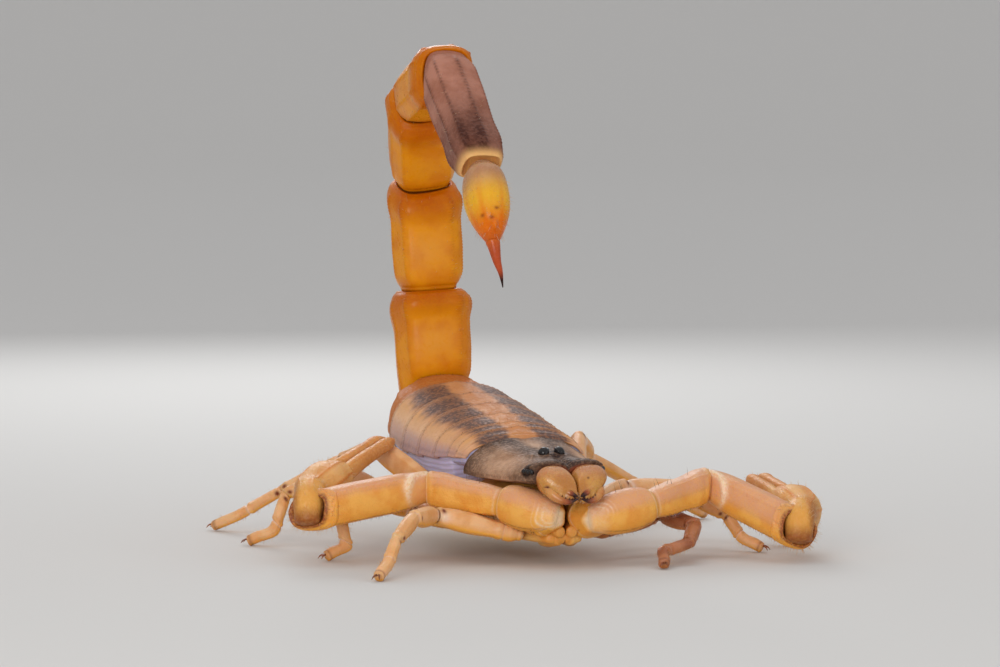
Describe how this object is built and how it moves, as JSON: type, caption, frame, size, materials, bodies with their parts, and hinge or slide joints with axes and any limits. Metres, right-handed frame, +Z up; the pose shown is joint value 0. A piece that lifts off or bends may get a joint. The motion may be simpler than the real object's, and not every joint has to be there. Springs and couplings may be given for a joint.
{
  "type": "scorpion",
  "caption": "Striped scorpion standing with its pincer arms bent and held low and its ringed tail arched forward over its back to a curved sting; a still display model.",
  "frame": {"origin": "On the floor at z = 0, under the middle of the animal's bounding box.", "axes": "+Z is up, the head faces -Y and the animal's left side is +X. The widest reach, across the front feet and arms, runs along X."},
  "size_m": [0.025, 0.0238, 0.0237],
  "materials": {
    "shield": "satin shell, mottled dark brown on tan",
    "trunk": "satin shell, two dark stripes on orange-tan",
    "tail": "satin shell, translucent amber orange",
    "tail_dark": "satin shell, dark purplish brown",
    "bulb": "glossy shell, bright orange",
    "sting": "glossy dark red-brown point",
    "arm": "satin shell, yellow-orange",
    "leg": "satin shell, pale tan",
    "jaw": "satin shell, netted tan",
    "belly": "satin shell, yellow-orange",
    "comb": "soft pale plates",
    "eye": "glossy black bead"
  },
  "bodies": {
    "root": {"carapace": "shield", "chelicera_left": "jaw", "chelicera_right": "jaw", "coxal_plate": "belly", "lateral_eyes_left": "eye", "lateral_eyes_right": "eye", "leg_left_1_femur": "leg", "leg_left_1_foot": "leg", "leg_left_1_shank": "leg", "leg_left_2_femur": "leg", "leg_left_2_foot": "leg", "leg_left_2_shank": "leg", "leg_left_3_femur": "leg", "leg_left_3_foot": "leg", "leg_left_3_shank": "leg", "leg_left_4_femur": "leg", "leg_left_4_foot": "leg", "leg_left_4_shank": "leg", "leg_right_1_femur": "leg", "leg_right_1_foot": "leg", "leg_right_1_shank": "leg", "leg_right_2_femur": "leg", "leg_right_2_foot": "leg", "leg_right_2_shank": "leg", "leg_right_3_femur": "leg", "leg_right_3_foot": "leg", "leg_right_3_shank": "leg", "leg_right_4_femur": "leg", "leg_right_4_foot": "leg", "leg_right_4_shank": "leg", "median_eye_left": "eye", "median_eye_right": "eye", "pectine_left": "comb", "pectine_right": "comb", "pedipalp_femur_left": "arm", "pedipalp_femur_right": "arm", "pedipalp_finger_left": "arm", "pedipalp_finger_right": "arm", "pedipalp_hand_left": "arm", "pedipalp_hand_right": "arm", "pedipalp_patella_left": "arm", "pedipalp_patella_right": "arm", "pedipalp_trochanter_left": "arm", "pedipalp_trochanter_right": "arm", "sting": "sting", "sting_bulb": "bulb", "tail_1": "tail", "tail_2": "tail", "tail_3": "tail", "tail_4": "tail", "tail_5": "tail_dark", "trunk_1": "trunk", "trunk_2": "trunk", "trunk_3": "trunk", "trunk_4": "trunk", "trunk_5": "trunk", "trunk_6": "trunk", "trunk_7": "trunk"}
  },
  "joints": []
}
